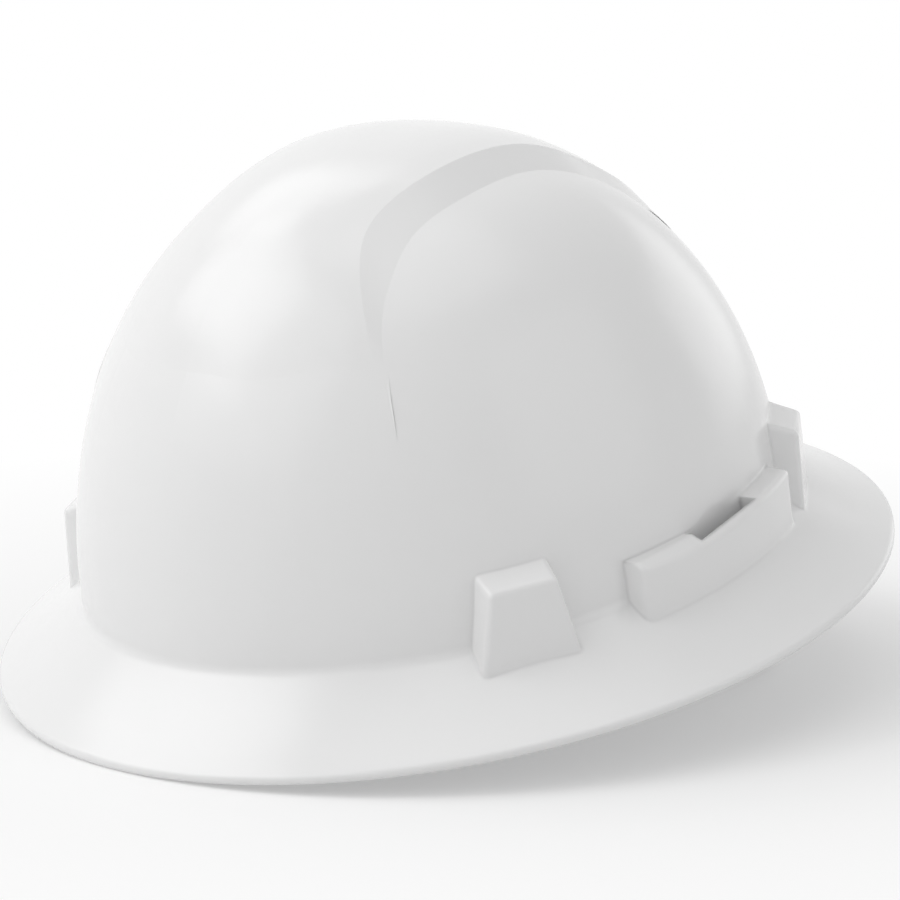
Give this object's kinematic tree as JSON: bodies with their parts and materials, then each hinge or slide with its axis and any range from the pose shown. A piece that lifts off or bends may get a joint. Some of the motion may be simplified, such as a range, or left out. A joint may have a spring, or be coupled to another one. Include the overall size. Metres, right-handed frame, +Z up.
{
  "type": "full brim hard hat",
  "caption": "Full brim hard hat with a raised crest, accessory slots, key pockets, a webbing suspension and a ratchet head band",
  "frame": {"origin": "centre of the bounding box's bottom, which is the surface the hat rests on", "axes": "+Y towards the hat's rear and +Z up, with the wearer's left at +X; the hat leans forward on its rim and its nape ratchet"},
  "size_m": [0.2712, 0.305, 0.1798],
  "materials": {
    "shell": "gloss",
    "webbing": "woven",
    "band": "satin",
    "sweatband": "brushed foam",
    "trim": "satin",
    "knob": "fine texture",
    "gear": "satin",
    "screw": "zinc"
  },
  "bodies": {
    "hat": {"shell": "shell", "strap_left": "webbing", "strap_right": "webbing", "crown_rivet": "trim", "key_front_left": "band", "key_front_right": "band", "key_rear_left": "band", "key_rear_right": "band", "height_pegs": "trim", "headband": "band", "brow_pad": "sweatband", "tail_left": "band", "tail_right": "band"},
    "ratchet": {"ratchet_housing": "trim", "ratchet_cover": "trim", "cover_screws": "screw", "nape_pad": "sweatband"},
    "rack_left": {"rack_left": "band"},
    "rack_right": {"rack_right": "band"},
    "knob": {"pinion": "gear", "detent_spring": "gear", "knob": "knob", "knob_screw": "screw"}
  },
  "joints": [
    {"name": "size_adjust", "type": "slide", "parent": "hat", "child": "ratchet", "axis": [0, -0.9831, -0.1829], "range_m": [-0.01667, 0.01667], "deforming": ["tail_left", "tail_right"]},
    {"name": "rack_left_feed", "type": "hinge", "parent": "ratchet", "child": "rack_left", "pos_m": [0, 0.01953, 0.00141], "axis": [0, -0.1829, 0.9831], "range_deg": [-15.58, 15.58]},
    {"name": "rack_right_feed", "type": "hinge", "parent": "ratchet", "child": "rack_right", "pos_m": [0, 0.01953, 0.00141], "axis": [0, -0.1829, 0.9831], "range_deg": [-15.86, 15.86]},
    {"name": "knob_turn", "type": "hinge", "parent": "ratchet", "child": "knob", "pos_m": [0, 0.10781, 0.01784], "axis": [0, 0.9831, 0.1829], "range_deg": [-239.45, 239.45]}
  ],
  "couplings": [
    {"joint": "rack_left_feed", "follows": "size_adjust", "rad_per_m": 16.269},
    {"joint": "rack_right_feed", "follows": "size_adjust", "rad_per_m": -16.556},
    {"joint": "knob_turn", "follows": "size_adjust", "rad_per_m": -250}
  ]
}
